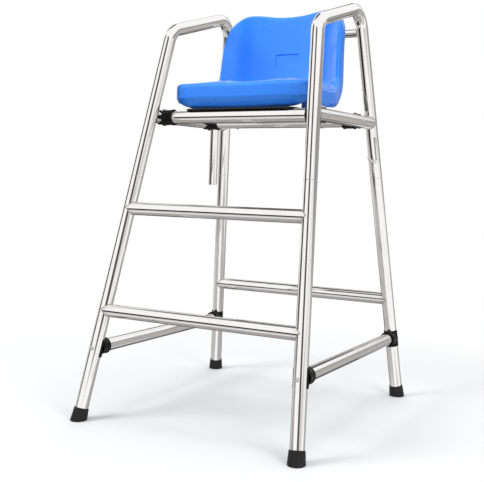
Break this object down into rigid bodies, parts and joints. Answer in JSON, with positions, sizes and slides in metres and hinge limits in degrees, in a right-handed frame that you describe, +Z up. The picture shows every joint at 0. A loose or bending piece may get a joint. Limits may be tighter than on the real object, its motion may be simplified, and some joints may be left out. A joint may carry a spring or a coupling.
{
  "type": "lifeguard chair",
  "caption": "Tall lifeguard chair of bent polished steel tube: leaning side frames, front ladder rungs, a moulded bucket seat on rails with saddle connectors, a side hook and rubber foot caps",
  "frame": {"origin": "on the floor, in the middle of the four feet", "axes": "+Z up, +Y towards the back of the chair, +X towards the side of the hook"},
  "size_m": [0.7444, 0.8205, 1.241],
  "materials": {
    "polished_steel": "polished",
    "fastener_steel": "plain",
    "black_nylon": "satin black",
    "black_rubber": "matt black",
    "black_paint": "satin black",
    "blue_shell": "semi-gloss blue"
  },
  "bodies": {
    "root": {"front_left_foot_cap": "black_rubber", "front_left_joint_sleeve": "polished_steel", "front_left_leg": "polished_steel", "front_left_seat_screw": "fastener_steel", "front_right_foot_cap": "black_rubber", "front_right_joint_sleeve": "polished_steel", "front_right_leg": "polished_steel", "front_right_seat_screw": "fastener_steel", "front_seat_rail": "polished_steel", "hook": "polished_steel", "left_brace": "polished_steel", "left_front_brace_bolt": "fastener_steel", "left_front_brace_plug": "fastener_steel", "left_front_brace_saddle": "black_nylon", "left_front_seat_rail_bolt": "fastener_steel", "left_front_seat_rail_plate_screw": "fastener_steel", "left_front_seat_rail_plug": "fastener_steel", "left_front_seat_rail_saddle": "black_nylon", "left_hoop": "polished_steel", "left_rear_brace_bolt": "fastener_steel", "left_rear_brace_plug": "fastener_steel", "left_rear_brace_saddle": "black_nylon", "left_rear_seat_rail_bolt": "fastener_steel", "left_rear_seat_rail_plate_screw": "fastener_steel", "left_rear_seat_rail_plug": "fastener_steel", "left_rear_seat_rail_saddle": "black_nylon", "left_side_rail": "polished_steel", "lower_rung": "polished_steel", "pole_sleeve": "polished_steel", "rear_crossbar": "polished_steel", "rear_left_foot_cap": "black_rubber", "rear_left_joint_sleeve": "polished_steel", "rear_left_leg": "polished_steel", "rear_left_seat_screw": "fastener_steel", "rear_right_foot_cap": "black_rubber", "rear_right_joint_sleeve": "polished_steel", "rear_right_leg": "polished_steel", "rear_right_seat_screw": "fastener_steel", "rear_seat_rail": "polished_steel", "rear_top_bar": "polished_steel", "right_brace": "polished_steel", "right_front_brace_bolt": "fastener_steel", "right_front_brace_plug": "fastener_steel", "right_front_brace_saddle": "black_nylon", "right_front_seat_rail_bolt": "fastener_steel", "right_front_seat_rail_plate_screw": "fastener_steel", "right_front_seat_rail_plug": "fastener_steel", "right_front_seat_rail_saddle": "black_nylon", "right_hoop": "polished_steel", "right_rear_brace_bolt": "fastener_steel", "right_rear_brace_plug": "fastener_steel", "right_rear_brace_saddle": "black_nylon", "right_rear_seat_rail_bolt": "fastener_steel", "right_rear_seat_rail_plate_screw": "fastener_steel", "right_rear_seat_rail_plug": "fastener_steel", "right_rear_seat_rail_saddle": "black_nylon", "right_side_rail": "polished_steel", "seat_plate": "black_paint", "seat_shell": "blue_shell", "upper_rung": "polished_steel"}
  },
  "joints": []
}
